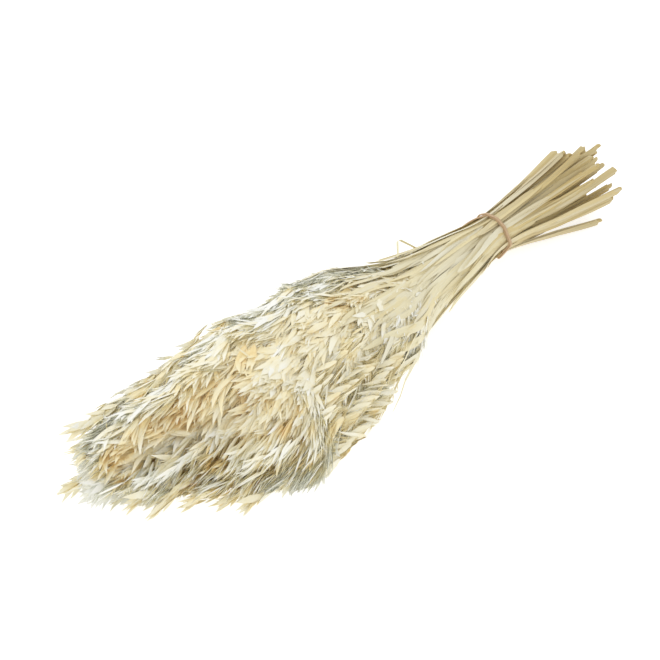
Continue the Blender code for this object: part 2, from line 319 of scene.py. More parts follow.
def leaf_parts(path, rng):
    """The leaf blades of one stalk, on the side of the straw that faces out of the bundle, and its
    strips of sheath, which begin at the cut end."""
    parts = []
    count = LEAVES_PER_STALK + STRIPS_PER_STALK
    share = np.linspace(*BLADE_ENDS, LEAF_RINGS)
    narrowing = np.cos(0.5 * math.pi * share)[:, None]
    swelling = np.sin(math.pi * share ** LEAF_WIDEST)[:, None]
    for index in range(count):
        cut_off = index >= LEAVES_PER_STALK
        if cut_off:
            start = path["cut"] + rng.uniform(*STRIP_STARTS)
            length = rng.uniform(*STRIP_LENGTHS)
        else:
            start = max(rng.uniform(*LEAF_STARTS), path["cut"] + LEAF_FROM_CUT)
            length = rng.uniform(*LEAF_LENGTHS)
        places = start + share * length
        middles = on_stalk(path, places)
        forward = unit(on_stalk(path, places + AHEAD) - middles + 1e-9 * along_axis)
        out = middles - band_middle
        out[:, 0] = 0.0
        out = unit(out + 1e-5 * sideways)
        turn = rng.normal(0.0, LEAF_TURN_STRAY)
        face = math.cos(turn) * out + math.sin(turn) * unit(np.cross(forward, out))
        edge = unit(np.cross(forward, face))
        free = np.clip(np.abs(places - TIE_PLACE) / TIE_HOLD, 0.0, 1.0)[:, None]
        lift = rng.uniform(*LEAF_LIFTS) * share[:, None] ** 2 * free * (not cut_off)
        wave = LEAF_WAVE * np.sin(rng.uniform(*WAVE_STARTS) + WAVE_TURN * share)[:, None] * free
        line = middles + (STRAW_RADII[0] + LEAF_GAP + lift) * face + wave * edge
        if cut_off:
            half_width = rng.uniform(*STRIP_HALF_WIDTHS) * narrowing ** STRIP_BLUNTNESS
        else:
            half_width = rng.uniform(*LEAF_HALF_WIDTHS) * swelling ** LEAF_BLUNTNESS
        part = blade_part(line, forward, edge, face, half_width, LEAF_FOLD, LEAF_POINT * length, places)
        tone = rng.random()
        bleach = path["bleach"] + rng.uniform(-LEAF_BLEACH_STRAY, LEAF_BLEACH_STRAY)
        parts.append(in_straw_finish(part, tone, bleach, LEAF_CHART, index, count, CHART_SHARE))
    return parts


# Spikelets
# A spikelet is two papery, boat-shaped glumes round slim florets, some with a stiff, bent awn. Those at
# the start of the heads are hardly open, and those deep in the bundle stay closed. Each one is made from
# one of a few shapes that are 1 long.
GLUME_WIDTHS = (0.17, 0.25)
GLUME_DEPTH = 0.026
GLUME_LEANS = (0.04, 0.22)
LEAN_BOW = 0.08
OUTER_GLUME_RINGS = (0.12, 0.45, 0.78)
INNER_GLUME_RINGS = (0.22, 0.65)
GLUME_CROSS = ((-1.0, 0.0), (0.0, 0.85), (1.0, 0.0), (0.0, 0.45))
GAPES = (0.01, 0.15)
GAPE_STRAYS = (0.6, 1.4)
CURLS = (-0.12, 0.10)
HUSK_WIDEST = 0.75
HUSK_BLUNTNESS = 0.8
HUSK_CROSS = ((-1.0, 0.0), (0.0, -0.7), (1.0, 0.0), (0.0, 0.7))
HUSK_BASE = (0.0, 0.02, 0.0)
HUSK_SWEEP = 0.3
FLORET_FROM = 0.5
FLORET_HALF_WIDTH = 0.045
FLORET_LENGTHS = (0.70, 0.92)
FLORET_LEANS = (-0.1, 0.1)
CLOSED_HALF_WIDTH = 0.085
CLOSED_RINGS = (0.13, 0.45, 0.80)
AWN_SHARE = 0.35
AWN_LENGTHS = (0.6, 1.0)
AWN_BENDS = (-0.3, 0.3)
AWN_START = (0.0, 0.45, 0.0)
AWN_FOOT = (0.0, 0.01, 0.0)
AWN_TO_KNEE = (0.1, 0.45, 0.10)
KNEE_TO_TIP = (1.0, 0.55, -0.05)
AWN_HALF_WIDTH = 0.008
AWN_WIDTHS = (1.0, 0.8)
AWN_GROWN = (0.4, 0.5, 0.5, 0.5, 0.7, 0.7, 0.7, 1.0)
OPEN_SHAPES = 10
SHAPE_COLUMNS = ((0.00, 0.42), (0.42, 0.76), (0.76, 0.96), (0.96, 1.0))
SHAPE_MARGINS = (0.02, 0.03)


def narrow_leaf(share):
    """Half-width of a pointed scale along its length, 1 where it is widest."""
    return math.sin(math.pi * share ** HUSK_WIDEST) ** HUSK_BLUNTNESS


def glume_part(shares, width, gape, curl, facing):
    """One glume, a thin boat with its keel away from the florets."""
    rings = []
    grown = [(0.0, 0.0, 0.0)]
    for share in shares:
        half_width = 0.5 * width * narrow_leaf(share)
        depth = GLUME_DEPTH * narrow_leaf(share)
        lift = gape * share + curl * share ** 2
        rings.append([(facing * half_width * x, share, facing * (lift + z * depth)) for x, z in GLUME_CROSS])
        grown += [(x, share, 0.0) for x, _ in GLUME_CROSS]
    grown.append((0.0, 1.0, 0.0))
    return skin(np.zeros(3), np.array(rings), np.array((0.0, 1.0, facing * (gape + curl))), np.array(grown))


def closed_part(shares, half_width, length, lean, kind):
    """A slim closed husk: a floret between the glumes, or a whole spikelet that has not opened."""
    rings = []
    grown = [(0.0, 0.0, kind)]
    for share in shares:
        wide = half_width * narrow_leaf(share)
        middle = np.array((HUSK_SWEEP * lean * share, length * share, lean * share))
        rings.append([middle + wide * np.array((x, 0.0, z)) for x, z in HUSK_CROSS])
        grown += [(x, share, kind) for x, _ in HUSK_CROSS]
    grown.append((0.0, 1.0, kind))
    tip = np.array((HUSK_SWEEP * lean, length, lean))
    return skin(np.array(HUSK_BASE), np.array(rings), tip, np.array(grown))


def awn_part(length, bend):
    """A stiff bristle with a knee, from the back of a floret."""
    start = np.array(AWN_START)
    knee = start + np.array(AWN_TO_KNEE) * (bend, length, 1.0)
    tip = knee + np.array(KNEE_TO_TIP) * (bend, length, 1.0)
    rings = []
    for middle, width in zip((start, knee), AWN_WIDTHS):
        spokes = [np.array((math.cos(turn), 0.0, math.sin(turn))) for turn in turns_round(3)]
        rings.append([middle + AWN_HALF_WIDTH * width * spoke for spoke in spokes])
    grown = np.array([(0.0, share, 2.0) for share in AWN_GROWN])
    return skin(start - AWN_FOOT, np.array(rings), tip, grown)


def joined(parts):
    """Several parts as one, in the order given."""
    whole = {}
    offsets = np.cumsum([0] + [len(part["points"]) for part in parts])
    for key in parts[0].keys() - {"finish"}:
        values = [part[key] for part in parts]
        if key in ("quads", "tris"):
            values = [value + offset for value, offset in zip(values, offsets)]
        whole[key] = np.concatenate(values)
    return whole


def charted(parts, columns):
    """Parts of a spikelet as one, each with its own column of the spikelet's chart."""
    across, along = SHAPE_MARGINS
    for part, (left, right) in zip(parts, columns):
        size = (1.0 - 2.0 * across) * (right - left), 1.0 - 2.0 * along
        for key in ("quad_chart", "tri_chart"):
            part[key] = part[key] * size + (left + across * (right - left), along)
    return joined(parts)


def spikelet_shape(openness, rng):
    """One of the spikelets' shapes, hanging along +Y: from closed and slim at 0 to wide open at 1."""
    curl = rng.uniform(*CURLS)
    width = np.interp(openness, (0.0, 1.0), GLUME_WIDTHS)
    gapes = np.interp(openness, (0.0, 1.0), GAPES) * rng.uniform(*GAPE_STRAYS, 2)
    floret_length = rng.uniform(*FLORET_LENGTHS)
    floret_lean = rng.uniform(*FLORET_LEANS)
    parts = [
        glume_part(OUTER_GLUME_RINGS, width, gapes[0], curl, 1.0),
        glume_part(INNER_GLUME_RINGS, width, gapes[1], curl, -1.0),
    ]
    side = rng.choice((-1.0, 1.0))
    for glume, way in zip(parts, (side, -side)):
        share = glume["points"][:, 1].copy()
        lean = way * rng.uniform(*GLUME_LEANS) * share
        glume["points"][:, 0] += lean + rng.normal(0.0, LEAN_BOW) * share ** 2
    columns = list(SHAPE_COLUMNS[:2])
    if openness > FLORET_FROM:
        parts.append(closed_part(INNER_GLUME_RINGS, FLORET_HALF_WIDTH, floret_length, floret_lean, 1.0))
        columns.append(SHAPE_COLUMNS[2])
    if rng.random() < AWN_SHARE:
        parts.append(awn_part(rng.uniform(*AWN_LENGTHS), rng.uniform(*AWN_BENDS)))
        columns.append(SHAPE_COLUMNS[3])
    return charted(parts, columns)


shape_rng = np.random.default_rng(SEED)
closed_spikelet = closed_part(CLOSED_RINGS, CLOSED_HALF_WIDTH, 1.0, 0.0, 0.0)
spikelet_shapes = [charted([closed_spikelet], [(0.0, 1.0)])]
for kind in range(OPEN_SHAPES):
    spikelet_shapes.append(spikelet_shape(kind / (OPEN_SHAPES - 1), shape_rng))

# Heads
# An oat head is a panicle: thin twigs spring in whorls from the rachis, and each one ends in a hanging
# spikelet. Tied together, the heads press each other into one thick brush, whose outermost spikelets lie
# over each other like shingles, in small clumps.
CELL_ANGLES = 24
GIRTH_PLACES = 29
GIRTH_ENDS = (0.03, 0.66)
GIRTH_MARGIN = 0.008
LEAST_GIRTH = 0.02
GIRTH_ANGLES = 60
GIRTH_STEP = 0.01
NOTCH_REACH = 5
NOTCH_SMOOTHING = 2
NOTCH_FILL = 0.82
SIDE_PULLS = (
    (
        (0.37, 0.0), (0.41, 0.016), (0.45, 0.022), (0.48, 0.022), (0.515, 0.004),
        (0.53, -0.016), (0.57, -0.010), (0.61, 0.006), (0.70, 0.008),
    ),
    ((0.40, 0.0), (0.50, 0.004), (0.58, 0.016), (0.64, 0.012), (0.70, 0.006)),
)
SKIN_SEED = SEED + 50
SKIN_DENSITY = 129000.0
SKIN_PLACES = (
    (0.262, 0.0), (0.30, 0.22), (0.34, 0.55), (0.38, 0.85),
    (0.42, 1.0), (0.62, 1.0), (0.68, 1.0), (0.70, 0.7),
)
FAR_SIDE_LEAD = 0.075
SKIN_END = 0.66
UNDER_SLOPE = -0.5
UNDER_SHARE = 0.4
SKIN_SHARES = (0.955, 1.00)
BASE_SHARES = (0.87, 0.95)
SKIN_SINK = 0.0020
SKIN_FLARE = (0.00, 0.15)
CLUMP_SPIKELETS = 7
CLUMP_WIDTH = 0.0045
CLUMP_LENGTH = 0.0060
CLUMP_LEVELS = (-0.0034, 0.0022)
CLUMP_DOME = 0.0009
CLUMP_EDGE = 4.0
CLUMP_STRAY = 0.15
CLUMP_FAN = 0.13
CLUMP_BLEACH = 0.08
RUFFLED_SHARE = 0.06
RUFFLED_LIFT = 0.0025
RUFFLED_FLARE = 0.18
TUFT_SEED = SEED + 40
TUFT_SECTORS = 13
TUFT_LENGTH = 0.062
TUFT_SWELL = 0.011
TUFT_RISE = 1.3
TUFT_FALL = 0.5
TUFT_PLACES = (0.36, 0.46)
SPIKELET_LENGTHS = (0.019, 0.032)
START_SIZES = ((0.27, 0.80), (0.42, 1.0))
FLOW_ENDS = (0.008, 0.006)
FLOW_AHEAD = 0.012
FAR_OFF = 9.0
STRAY = 0.06
SHAGGY_SHARE = 0.08
SHAGGY_STRAY = 0.30
SIDE_HANGS = ((0.30, 0.1), (0.40, 0.9), (0.48, 0.9), (0.54, 0.25), (0.70, 0.1))
HANG_STRAYS = (0.4, 1.3)
HANG_HEIGHT = 0.03
LOOSE_FROM = 0.53
TUFT_SPIKELETS = 42
TUFT_FROM = 0.45
TUFT_SHARES = (0.45, 1.00)
CORE_SPIKELETS = 20
CORE_SHARES = (0.15, 0.75)
OWN_SIZE = 0.9
OWN_START = 0.006
OWN_END = 0.75
OWN_AIM = 0.85
OWN_LIFTS = (0.10, 0.35)
OWN_TURN_STRAYS = (0.0, 0.8)
LEAST_BASE = 0.05
OWN_RIM_LIGHT_SHARE = 0.6
GOLDEN_TURN = math.pi * (3.0 - math.sqrt(5.0))
HEAD_MARGINS = (0.002, 0.004)
ROLL_STRAY = 0.16
SWEEP_STRAY = 0.17
SAG = (0.0, 0.15)
OPEN_PLACES = (0.26, 0.38)
OPENNESSES = (0.1, 1.0)
HEAD_BLEACH = -0.26
HEAD_BLEACH_STRAY = 0.07
FLORET_BLEACH = -0.25
TWIG_BLEACH = -0.2
# Less bleach deep in the heads: partly the tissue's own colour, partly painted shade in the crevices between
# spikelets.
SHELTERED_AND_SHADED = -0.48
SHELTER_AND_SHADE_DEPTHS = (0.003, 0.018)
# Painted rim light: spikelets are made whiter on the bundle's sides by the way they face, most on the far
# side.
RIM_LIGHT_BLEACHES = ((-1.0, 0.35), (0.05, 0.0), (0.45, 0.75), (1.0, 0.75))
# Painted light from the table: spikelets are made whiter the nearer they are to it.
LOW_TABLE_LIGHT_BLEACHES = ((0.0, 0.45), (0.045, 0.0))
END_BLEACHES = ((0.30, 0.15), (0.42, 0.0), (0.60, 0.0), (0.70, 0.10))
TWIG_SIDES = 3
TWIG_RADIUS = 0.00055
TWIG_REACH = (0.008, 0.026)
TWIG_OVERLAP = 0.0008
TWIG_CHART = (0.11, 0.145)
TWIG_CHART_SHARE = 0.9
SPIKELET_CHART = (0.18, 1.0)
CHART_COLUMNS = 8


def stops(values, row):
    """Values read from a row of stops, each a place and the value there."""
    return np.interp(values, *zip(*row))


def cell_reaches(path):
    """How far a head's room reaches from its middle at each ring, in each of the cell angles."""
    rays = spokes_at(turns_round(CELL_ANGLES))
    reaches = []
    for ring, middle in zip(path["rings"], path["middles"]):
        corners = (ring - middle)[:, 1:]
        corners = corners[np.argsort(np.arctan2(corners[:, 1], corners[:, 0]))]
        edges = np.roll(corners, -1, axis=0) - corners
        outs = unit(np.stack([edges[:, 1], -edges[:, 0]], -1))
        heights = (outs * corners).sum(axis=1)
        facing = np.clip(rays @ outs.T, 1e-3, None)
        reaches.append((heights / facing).min(axis=1))
    return np.array(reaches)


def from_table(table, k, t, column):
    """Values from a table whose columns go once round, a share t of the way from row k to the next."""
    left = np.floor(column).astype(int)
    part = column - left
    a, b = left % table.shape[1], (left + 1) % table.shape[1]
    near = table[k, a] * (1.0 - part) + table[k, b] * part
    far = table[k + 1, a] * (1.0 - part) + table[k + 1, b] * part
    return near * (1.0 - t) + far * t


def cell_reach(path, places, turns):
    """How far a head's room reaches at these places along the stalk, in these directions."""
    rings = path["places"]
    k = np.clip(np.searchsorted(rings, places) - 1, 0, len(rings) - 2)
    t = np.clip((places - rings[k]) / (rings[k + 1] - rings[k]), 0.0, 1.0)
    return from_table(path["reaches"], k, t, turns / (2.0 * math.pi) * CELL_ANGLES)


def girth_at(places):
    """The bundle's middle and half-size, sideways and up, at distances from the longest cut end."""
    return [
        np.stack([np.interp(places, girth_places, values[:, k]) for k in (0, 1)], -1)
        for values in (girth_middles, girth_sizes)
    ]


def in_bundle(points):
    """Where points are in the bundle: their places along it and its middles there, and the points'
    offsets from these middles, as they are and as angles and distances."""
    places = cad_high.x - points[:, 0]
    middles, _ = girth_at(places)
    offsets = points[:, 1:] - middles
    angles = np.arctan2(offsets[:, 1], offsets[:, 0]) % (2.0 * math.pi)
    return places, middles, offsets, angles, np.linalg.norm(offsets, axis=1)


def in_space(across, along=0.0):
    """Places or directions across the bundle, and along it, as points or vectors."""
    return np.concatenate([np.zeros((len(across), 1)) + along, across], axis=1)


def smooth_round(values, axis):
    return 0.5 * values + 0.25 * (np.roll(values, 1, axis=axis) + np.roll(values, -1, axis=axis))


def smooth_along(values):
    values[1:-1] = 0.5 * values[1:-1] + 0.25 * (values[:-2] + values[2:])


def turned(table, most):
    """Copies of a table, turned round by up to this many columns each way."""
    return np.stack([np.roll(table, turn, axis=1) for turn in range(-most, most + 1)])


def skin_table():
    """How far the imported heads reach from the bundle's middle, by place and by direction."""
    rows = np.arange(SKIN_PLACES[0][0], cad_high.x - cad_low.x + GIRTH_STEP, GIRTH_STEP)
    reaches = np.zeros((len(rows), GIRTH_ANGLES))
    turns = turns_round(2 * CELL_ANGLES)
    spokes = spokes_at(turns)
    middles, _ = girth_at(rows)
    for path in paths.values():
        for row, along in enumerate(rows):
            if path["cut"] < along < path["tip"]:
                centre = on_stalk(path, np.array([along]))[0, 1:]
                reach = cell_reach(path, np.full(len(turns), along), turns)
                corners = centre - middles[row] + reach[:, None] * spokes
                angles = np.arctan2(corners[:, 1], corners[:, 0]) % (2.0 * math.pi)
                columns = (angles / (2.0 * math.pi) * GIRTH_ANGLES).astype(int) % GIRTH_ANGLES
                np.maximum.at(reaches[row], columns, np.hypot(corners[:, 0], corners[:, 1]))
    reaches = np.maximum(reaches, 0.5 * (np.roll(reaches, 1, axis=1) + np.roll(reaches, -1, axis=1)))
    reaches = smooth_round(reaches, 1)
    smooth_along(reaches)
    fullest = turned(reaches, NOTCH_REACH).max(axis=0)
    reaches = np.maximum(reaches, NOTCH_FILL * turned(fullest, NOTCH_SMOOTHING).mean(axis=0))
    for pull, facing in zip(SIDE_PULLS, (-np.cos(girth_angles), np.cos(girth_angles))):
        reaches -= stops(rows, pull)[:, None] * np.clip(facing, 0.0, 1.0) ** 2
    return rows, reaches


def skin_reach(places, angles):
    """How far the heads reach at any place and in any direction from the bundle's middle."""
    row = np.clip((places - skin_rows[0]) / GIRTH_STEP, 0.0, len(skin_rows) - 1.001)
    k = row.astype(int)
    return from_table(skin_reaches, k, row - k, angles / (2.0 * math.pi) * GIRTH_ANGLES - 0.5)


def shelter_and_shade(points):
    """How much more golden these points are: less bleach and sun reached them deep in the bundle, and this
    also paints shade into the crevices between spikelets. 0 at the bundle's skin.
    """
    places, _, _, angles, distances = in_bundle(points)
    depth = skin_reach(places, angles) - distances
    return SHELTERED_AND_SHADED * np.interp(depth, SHELTER_AND_SHADE_DEPTHS, (0.0, 1.0)) * (places > skin_rows[0])


def drawn_in(points):
    """Points moved towards the bundle's middle where they stand out of its skin, short of its loose end."""
    places, middles, offsets, angles, distances = in_bundle(points)
    packed = (places > skin_rows[0]) & (places < LOOSE_FROM)
    most = np.where(packed, skin_reach(places, angles) - SKIN_SINK, 1.0)
    share = np.minimum(1.0, most / np.maximum(0.001, distances))
    return in_space(middles + offsets * share[:, None], points[:, :1])


def flow_table():
    """Middles and directions of all stalks at the skin's rows. Stalks with no head there are far off."""
    middles = np.full((len(paths), len(skin_rows), 3), FAR_OFF)
    runs = np.zeros(middles.shape)
    for k, path in enumerate(paths.values()):
        begun = skin_rows > path["head"] + FLOW_ENDS[0]
        there = begun & (skin_rows < path["tip"] + FLOW_ENDS[1])
        middles[k, there] = on_stalk(path, skin_rows[there])
        run = on_stalk(path, skin_rows + FLOW_AHEAD) - on_stalk(path, skin_rows - FLOW_AHEAD)
        runs[k] = unit(run + 1e-6 * along_axis)
    return middles, runs


def tuft_swell(places, angles):
    """How far the tufts stand out: each one swells towards its end, and the next begins under it."""
    sector = angles / (2.0 * math.pi) * TUFT_SECTORS
    along = (places / TUFT_LENGTH + tuft_phases[sector.astype(int) % TUFT_SECTORS]) % 1.0
    ridge = 1.0 - (2.0 * (sector % 1.0) - 1.0) ** 2
    swell = TUFT_SWELL * (TUFT_RISE * along * ridge - TUFT_FALL)
    return swell * np.interp(places, TUFT_PLACES, (0.0, 1.0))


def skin_clumps(rng):
    """Where the clumps of spikelets in the bundle's skin are: their places along it and angles round it.
    There are fewer underneath, and they begin sooner on the far side."""
    begun = skin_rows[:, None] + FAR_SIDE_LEAD * np.clip(np.cos(girth_angles), 0.0, 1.0)
    density = stops(begun, SKIN_PLACES) * np.where(np.sin(girth_angles) < UNDER_SLOPE, UNDER_SHARE, 1.0)
    at_end = skin_rows > SKIN_END
    density[at_end] = stops(skin_rows[at_end], SKIN_PLACES)[:, None]
    weights = np.cumsum((skin_reaches * density).ravel())
    area = weights[-1] * GIRTH_STEP * 2.0 * math.pi / GIRTH_ANGLES
    clumps = int(SKIN_DENSITY * area / CLUMP_SPIKELETS)
    picks = (np.arange(clumps) + rng.random(clumps)) / clumps * weights[-1]
    row, column = np.divmod(np.searchsorted(weights, picks), GIRTH_ANGLES)
    places = skin_rows[row] + GIRTH_STEP * rng.uniform(-0.5, 0.5, clumps)
    return places, 2.0 * math.pi * (column + rng.random(clumps)) / GIRTH_ANGLES


def skin_spikelets(rng):
    """The spikelets in the bundle's skin: each one's owner, base, direction, facing, length and how much
    whiter it is, which holds painted rim light on the bundle's sides and painted light from the table low
    down. Those of a clump share its level, lean and bleach, and fan out."""
    places, turns = skin_clumps(rng)
    clumps = len(places)
    count = clumps * CLUMP_SPIKELETS
    clump = np.repeat(np.arange(clumps), CLUMP_SPIKELETS)
    beside = rng.normal(0.0, 1.0, count)
    turns = turns[clump] + CLUMP_WIDTH * beside / np.maximum(LEAST_GIRTH, skin_reach(places, turns)[clump])
    turns %= 2.0 * math.pi
    places = np.clip(places[clump] + rng.normal(0.0, CLUMP_LENGTH, count), skin_rows[0], skin_rows[-1])
    row = np.rint((places - skin_rows[0]) / GIRTH_STEP).astype(int)
    middles, sizes = girth_at(places)
    spokes = spokes_at(turns)
    reach = rng.uniform(*SKIN_SHARES, count) * (skin_reach(places, turns) - SKIN_SINK)
    reach += tuft_swell(places, turns)
    ruffled = (rng.random(clumps) < RUFFLED_SHARE)[clump]
    reach += rng.uniform(*CLUMP_LEVELS, clumps)[clump] - CLUMP_DOME * np.minimum(beside ** 2, CLUMP_EDGE)
    reach += RUFFLED_LIFT * ruffled
    tips = in_space(middles + reach[:, None] * spokes, cad_high.x - places[:, None])
    facing = unit(in_space(spokes / sizes))

    flow_middles, flow_runs = flow_table()
    owners = np.linalg.norm(flow_middles[:, row, 1:] - tips[None, :, 1:], axis=2).argmin(axis=0)
    strays = np.where(rng.random(count) < SHAGGY_SHARE, SHAGGY_STRAY, STRAY)
    around = in_space(np.stack([-spokes[:, 1], spokes[:, 0]], -1))
    flares = rng.uniform(*SKIN_FLARE, count) + RUFFLED_FLARE * ruffled
    directions = flow_runs[owners, row] + flares[:, None] * facing
    shared = CLUMP_STRAY * rng.normal(0.0, 1.0, (clumps, 3))[clump]
    directions += shared + CLUMP_FAN * beside[:, None] * around
    directions = unit(directions + strays[:, None] * rng.normal(0.0, 1.0, (count, 3)))
    side = np.abs(facing[:, 1]) ** 3 * np.clip(tips[:, 2] / HANG_HEIGHT, 0.0, 1.0)
    hanging = side * rng.uniform(*HANG_STRAYS, count) * stops(places, SIDE_HANGS)
    directions = unit(directions - hanging[:, None] * np.array((0.0, 0.0, 1.0)))

    lengths = rng.uniform(*SPIKELET_LENGTHS, count) * stops(places, START_SIZES)
    bases = tips - lengths[:, None] * directions
    base_places, middles, offsets, angles, distances = in_bundle(bases)
    most = skin_reach(base_places, angles) * rng.uniform(*BASE_SHARES, count)
    bases[:, 1:] = middles + offsets * np.minimum(1.0, most / distances)[:, None]
    # Whiter: each clump's bleach and the heads' ends, with painted rim light on the sides and painted light
    # from the table low down.
    whiter_and_lit = rng.normal(0.0, CLUMP_BLEACH, clumps)[clump] + stops(facing[:, 1], RIM_LIGHT_BLEACHES)
    whiter_and_lit += stops(tips[:, 2], LOW_TABLE_LIGHT_BLEACHES) + stops(places, END_BLEACHES)
    return owners, bases, unit(tips - bases), facing, lengths, whiter_and_lit


def own_spikelets(path, count, first, shares, rng):
    """Spikelets that stand round one rachis, from a share of the head to its tip: the same values as those of
    the skin, without an owner. How much whiter they are is only painted rim light."""
    lengths = rng.uniform(*SPIKELET_LENGTHS, count) * OWN_SIZE
    steps = first + (1.0 - first) * (np.arange(count) + rng.uniform(0.0, 1.0, count)) / count
    room = path["tip"] - path["head"] - OWN_START - OWN_END * lengths
    places = path["head"] + OWN_START + steps * room
    turns = (np.arange(count) * GOLDEN_TURN + rng.uniform(*OWN_TURN_STRAYS, count)) % (2.0 * math.pi)
    spokes = in_space(spokes_at(turns))
    tip_shares = rng.uniform(*shares, count)
    base_shares = np.clip(tip_shares - rng.uniform(*OWN_LIFTS, count), LEAST_BASE, 1.0)
    bases = on_stalk(path, places) + (cell_reach(path, places, turns) * base_shares)[:, None] * spokes
    ends = np.minimum(places + OWN_AIM * lengths, path["tip"])
    aims = on_stalk(path, ends) + (cell_reach(path, ends, turns) * tip_shares)[:, None] * spokes
    directions = unit(unit(drawn_in(aims) - bases) + STRAY * rng.normal(0.0, 1.0, (count, 3)))
    return bases, directions, spokes, lengths, OWN_RIM_LIGHT_SHARE * stops(spokes[:, 1], RIM_LIGHT_BLEACHES)


def twig_parts(path, bases, directions, places, tones, rng):
    """The thin twigs of one head, each from a whorl on the rachis to the base of its spikelet."""
    count = len(bases)
    roots = on_stalk(path, np.maximum(path["head"], places - rng.uniform(*TWIG_REACH, count)))
    ends = bases + TWIG_OVERLAP * directions
    run = unit(ends - roots)
    wide = unit(np.cross(run, sideways))
    around = spokes_between(turns_round(TWIG_SIDES), wide, np.cross(run, wide))
    rings = (0.5 * (roots + ends)[:, None] + TWIG_RADIUS * around)[:, None]
    parts = []
    for k in range(count):
        grown = np.zeros((TWIG_SIDES + 2, 3))
        grown[:, 2] = places[k]
        twig = skin(roots[k], rings[k], ends[k], grown)
        # Twigs deep in the bundle get less bleach: partly their own colour, partly painted shade.
        bleach = path["bleach"] + TWIG_BLEACH + shelter_and_shade(twig["points"])
        parts.append(in_straw_finish(twig, tones[k], bleach, TWIG_CHART, k, count, TWIG_CHART_SHARE, True))
    return parts


def head_parts(path, skin_share, rng):
    """Spikelets and twigs of one head: those in the bundle's skin, those of the tuft at the head's end,
    and closed ones deep inside. The spikelets of one shape are one part."""
    groups = [
        skin_share,
        own_spikelets(path, TUFT_SPIKELETS, TUFT_FROM, TUFT_SHARES, rng),
        own_spikelets(path, CORE_SPIKELETS, 0.0, CORE_SHARES, rng),
    ]
    bases, directions, facing, sizes, whiter_and_lit = [np.concatenate(values) for values in zip(*groups)]
    count = len(bases)
    low, high = path["head"] + HEAD_MARGINS[0], path["tip"] - HEAD_MARGINS[1]
    base_places = np.clip(cad_high.x - bases[:, 0], low, high)

    across = unit(np.cross(directions, facing))
    rolls = rng.normal(0.0, ROLL_STRAY, count)[:, None]
    wide = np.cos(rolls) * across + np.sin(rolls) * np.cross(directions, across)
    turning = np.stack([wide, directions, np.cross(wide, directions)], -1)
    sags = rng.uniform(*SAG, count)
    sweeps = rng.normal(0.0, SWEEP_STRAY, count)
    tones = rng.random(count)
    # The whiter values hold painted rim light and painted light from the table.
    bleaches = path["bleach"] + HEAD_BLEACH + rng.normal(0.0, HEAD_BLEACH_STRAY, count) + whiter_and_lit
    openings = np.interp(base_places, OPEN_PLACES, OPENNESSES) * rng.uniform(0.0, 1.0, count)
    kinds = 1 + np.clip(openings * OPEN_SHAPES, 0, OPEN_SHAPES - 1).astype(int)
    kinds[count - CORE_SPIKELETS:] = 0

    rows = math.ceil(count / CHART_COLUMNS)
    cell = np.array((1.0 / CHART_COLUMNS, (SPIKELET_CHART[1] - SPIKELET_CHART[0]) / rows))
    corner = np.stack([np.arange(count) % CHART_COLUMNS, np.arange(count) // CHART_COLUMNS], -1) * cell
    corner += (0.0, SPIKELET_CHART[0])
    parts = []
    for kind, shape in enumerate(spikelet_shapes):
        chosen = np.flatnonzero(kinds == kind)
        if len(chosen) == 0:
            continue
        local = sizes[chosen, None, None] * shape["points"]
        points = bases[chosen, None] + np.einsum("nij,npj->npi", turning[chosen], local)
        bend = (sizes[chosen, None] * shape["points"][:, 1] ** 2)[..., None]
        points += bend * sweeps[chosen, None, None] * wide[chosen, None]
        points[..., 2] -= bend[..., 0] * sags[chosen, None]
        offsets = np.arange(len(chosen))[:, None, None] * len(shape["points"])
        floret = shape["grown"][:, 2] > 0.5
        part = {
            "points": points.reshape(-1, 3),
            "grown": np.broadcast_to(shape["grown"], points.shape).reshape(-1, 3),
            "tone": np.repeat(tones[chosen], len(shape["points"])),
            "bleach": (bleaches[chosen, None] + FLORET_BLEACH * floret).ravel(),
            "finish": 1,
        }
        # Deep spikelets get less bleach: partly their own colour, partly painted shade in the crevices.
        part["bleach"] += shelter_and_shade(part["points"])
        for faces, chart, sides in (("quads", "quad_chart", 4), ("tris", "tri_chart", 3)):
            part[faces] = (shape[faces] + offsets).reshape(-1, sides)
            part[chart] = (shape[chart] * cell + corner[chosen, None, None]).reshape(-1, sides, 2)
        parts.append(part)
    return parts + twig_parts(path, bases, directions, base_places, tones, rng)


# The bundle's own middle and half-size along it, and how far its heads reach round them.
girth_places = np.linspace(0.0, cad_high.x - cad_low.x, GIRTH_PLACES)
girth_angles = 2.0 * math.pi * (np.arange(GIRTH_ANGLES) + 0.5) / GIRTH_ANGLES
girth_middles = np.zeros((GIRTH_PLACES, 2))
girth_sizes = np.zeros((GIRTH_PLACES, 2))
for k, along in enumerate(np.clip(girth_places, *GIRTH_ENDS)):
    here = [path for path in paths.values() if path["cut"] <= along <= path["tip"]]
    there = np.array([on_stalk(path, np.array([along]))[0, 1:] for path in here])
    girth_middles[k] = 0.5 * (there.min(axis=0) + there.max(axis=0))
    girth_sizes[k] = 0.5 * (there.max(axis=0) - there.min(axis=0)) + GIRTH_MARGIN
for path in paths.values():
    path["reaches"] = cell_reaches(path)
skin_rows, skin_reaches = skin_table()
tuft_phases = np.random.default_rng(TUFT_SEED).random(TUFT_SECTORS)
owners, *skin_values = skin_spikelets(np.random.default_rng(SKIN_SEED))

